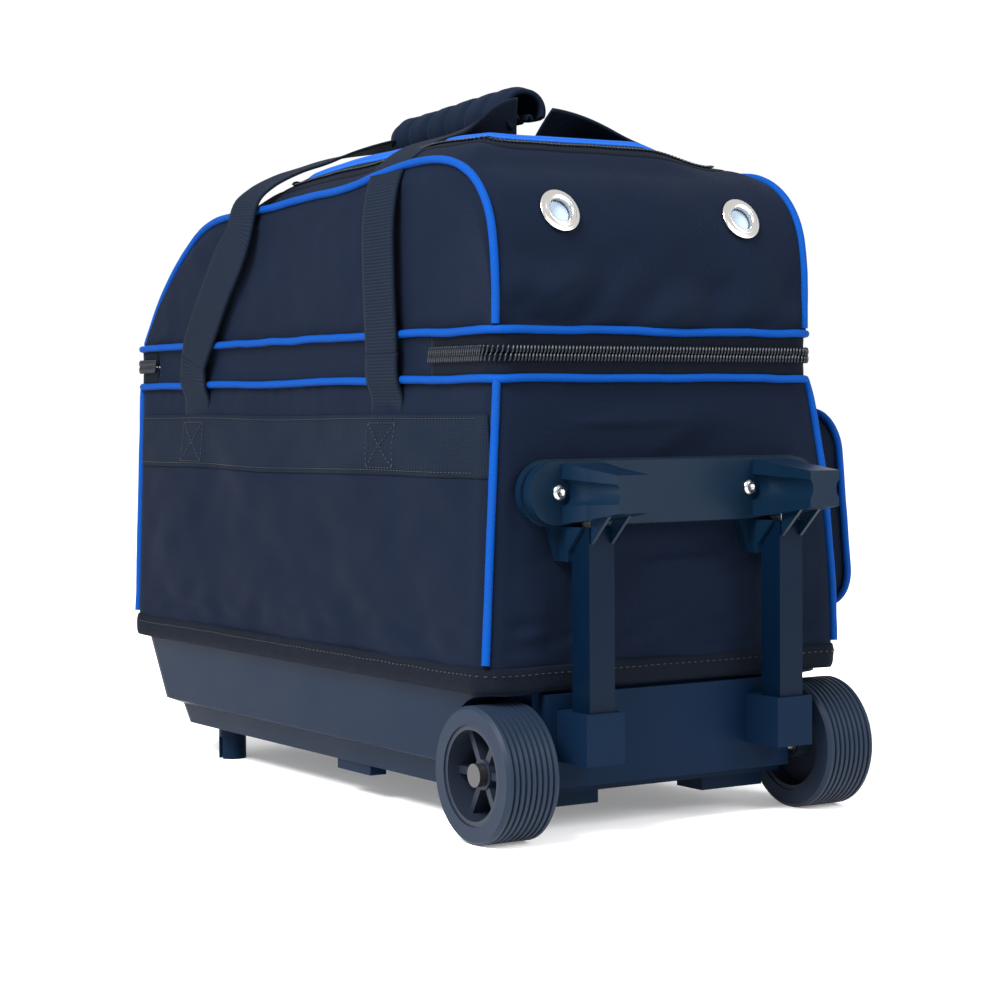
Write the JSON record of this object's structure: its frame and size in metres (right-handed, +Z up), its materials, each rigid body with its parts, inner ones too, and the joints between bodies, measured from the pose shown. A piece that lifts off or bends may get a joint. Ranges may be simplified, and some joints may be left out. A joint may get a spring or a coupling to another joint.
{
  "type": "bowling roller bag",
  "caption": "Soft-sided rolling bag for bowling balls with a base tray, wheels, hinged shoe-compartment lid, carrying straps and a telescopic pull handle.",
  "frame": {"origin": "on the floor under the middle of the bag's bounding box", "axes": "+X along the bag away from the wheels, +Y towards the hinged back, +Z up"},
  "size_m": [0.5781, 0.3148, 0.468],
  "materials": {
    "bag_fabric": "twill weave",
    "webbing": "ribbed webbing",
    "piping": "woven cover over cord",
    "bright_trim": "ribbed tape",
    "binding": "woven tape",
    "zip_tape": "woven tape",
    "zip_metal": "black enamel",
    "wrap_fabric": "quilted",
    "foam": "foam",
    "tray_plastic": "satin moulding",
    "board": "plain",
    "handle_plastic": "satin moulding",
    "tube_metal": "satin black",
    "inner_tube": "brushed",
    "tyre": "hard rubber",
    "hub_plastic": "satin moulding",
    "steel": "turned",
    "nickel": "polished"
  },
  "bodies": {
    "bag": {"base_tray": "tray_plastic", "base_board": "board", "far_feet": "tray_plastic", "skids": "tray_plastic", "ball_cup_wheel_end": "foam", "ball_cup_far_end": "foam", "ball_divider": "foam", "axle": "steel", "axle_washers": "steel", "push_nuts": "steel", "handle_socket_back": "tray_plastic", "handle_socket_front": "tray_plastic", "outer_tube_back": "tube_metal", "outer_tube_front": "tube_metal", "handle_bracket": "handle_plastic", "bracket_rivets": "steel", "body_shell": "bag_fabric", "hem_binding": "binding", "body_piping_ring": "piping", "corner_pipings": "piping", "back_band": "webbing", "strap_feet_back": "webbing", "strap_feet_front": "webbing", "zip_band_lower": "bag_fabric", "zip_coil_lower": "zip_tape", "front_pocket": "bag_fabric", "pocket_piping": "piping", "pocket_zip": "zip_tape"},
    "wheel_back": {"tyre_back": "tyre", "hub_back": "hub_plastic"},
    "wheel_front": {"tyre_front": "tyre", "hub_front": "hub_plastic"},
    "handle_stage_1": {"handle_stage_1": "inner_tube"},
    "handle_stage_2": {"handle_stage_2": "inner_tube"},
    "pull_grip": {"handle_stage_3": "inner_tube", "grip_front": "handle_plastic", "grip_rear": "handle_plastic", "grip_screws": "steel"},
    "lid": {"lid_shell": "bag_fabric", "lid_top_flap": "bag_fabric", "lid_floor": "bag_fabric", "lid_top_zip": "zip_tape", "lid_trim": "bright_trim", "lid_piping_ring": "piping", "lid_piping_back": "piping", "lid_piping_front": "piping", "zip_band_upper": "bag_fabric", "zip_coil_upper": "zip_tape", "lid_grommets": "nickel"},
    "back_strap": {"strap_back": "webbing", "grip_wrap": "wrap_fabric"},
    "front_strap": {"strap_front": "webbing"},
    "main_slider_a": {"main_slider_a": "zip_metal"},
    "main_pull_a": {"main_pull_a": "zip_metal"},
    "main_slider_b": {"main_slider_b": "zip_metal"},
    "main_pull_b": {"main_pull_b": "zip_metal"},
    "pocket_slider": {"pocket_slider": "zip_metal"},
    "pocket_pull": {"pocket_pull": "zip_metal"},
    "top_slider": {"top_slider": "zip_metal"},
    "top_pull": {"top_pull": "zip_metal"}
  },
  "joints": [
    {"name": "wheel_back_spin", "type": "hinge", "parent": "bag", "child": "wheel_back", "pos_m": [-0.217, 0.01865, 0.0411], "axis": [0, 1, 0], "continuous": true},
    {"name": "wheel_front_spin", "type": "hinge", "parent": "bag", "child": "wheel_front", "pos_m": [-0.217, 0.01865, 0.0411], "axis": [0, 1, 0], "continuous": true},
    {"name": "handle_pull", "type": "slide", "parent": "bag", "child": "handle_stage_1", "axis": [0, 0, 1], "range_m": [0, 0.11]},
    {"name": "handle_stage_2_slide", "type": "slide", "parent": "handle_stage_1", "child": "handle_stage_2", "axis": [0, 0, 1], "range_m": [0, 0.11]},
    {"name": "grip_slide", "type": "slide", "parent": "handle_stage_2", "child": "pull_grip", "axis": [0, 0, 1], "range_m": [0, 0.11]},
    {"name": "lid_open", "type": "hinge", "parent": "bag", "child": "lid", "pos_m": [0.033, 0.14305, 0.289], "axis": [-1, 0, 0], "range_deg": [0, 68]},
    {"name": "back_strap_swing", "type": "hinge", "parent": "lid", "child": "back_strap", "pos_m": [0.033, 0.14545, 0.2925], "axis": [-1, 0, 0], "range_deg": [0, 85]},
    {"name": "front_strap_swing", "type": "hinge", "parent": "bag", "child": "front_strap", "pos_m": [0.033, -0.10815, 0.2925], "axis": [1, 0, 0], "range_deg": [0, 123.4]},
    {"name": "main_slider_a_slide", "type": "slide", "parent": "bag", "child": "main_slider_a", "axis": [-1, 0, 0], "range_m": [0, 0.08]},
    {"name": "main_pull_a_swing", "type": "hinge", "parent": "main_slider_a", "child": "main_pull_a", "pos_m": [0.024, -0.11105, 0.2895], "axis": [-1, 0, 0], "range_deg": [0, 120]},
    {"name": "main_slider_b_slide", "type": "slide", "parent": "bag", "child": "main_slider_b", "axis": [1, 0, 0], "range_m": [0, 0.08]},
    {"name": "main_pull_b_swing", "type": "hinge", "parent": "main_slider_b", "child": "main_pull_b", "pos_m": [0.042, -0.11105, 0.2895], "axis": [-1, 0, 0], "range_deg": [0, 120]},
    {"name": "pocket_slider_slide", "type": "slide", "parent": "bag", "child": "pocket_slider", "axis": [-1, 0, 0], "range_m": [0, 0.19]},
    {"name": "pocket_pull_swing", "type": "hinge", "parent": "pocket_slider", "child": "pocket_pull", "pos_m": [0.153, -0.13835, 0.2601], "axis": [0, -1, 0], "range_deg": [0, 100]},
    {"name": "top_slider_slide", "type": "slide", "parent": "lid", "child": "top_slider", "axis": [-1, 0, 0], "range_m": [0, 0.07]},
    {"name": "top_pull_swing", "type": "hinge", "parent": "top_slider", "child": "top_pull", "pos_m": [0.013, -0.07535, 0.4201], "axis": [0, -1, 0], "range_deg": [0, 150]}
  ],
  "couplings": [
    {"joint": "handle_stage_2_slide", "follows": "handle_pull", "ratio": 1},
    {"joint": "grip_slide", "follows": "handle_pull", "ratio": 1},
    {"joint": "front_strap_swing", "follows": "lid_open", "ratio": 1.8}
  ]
}
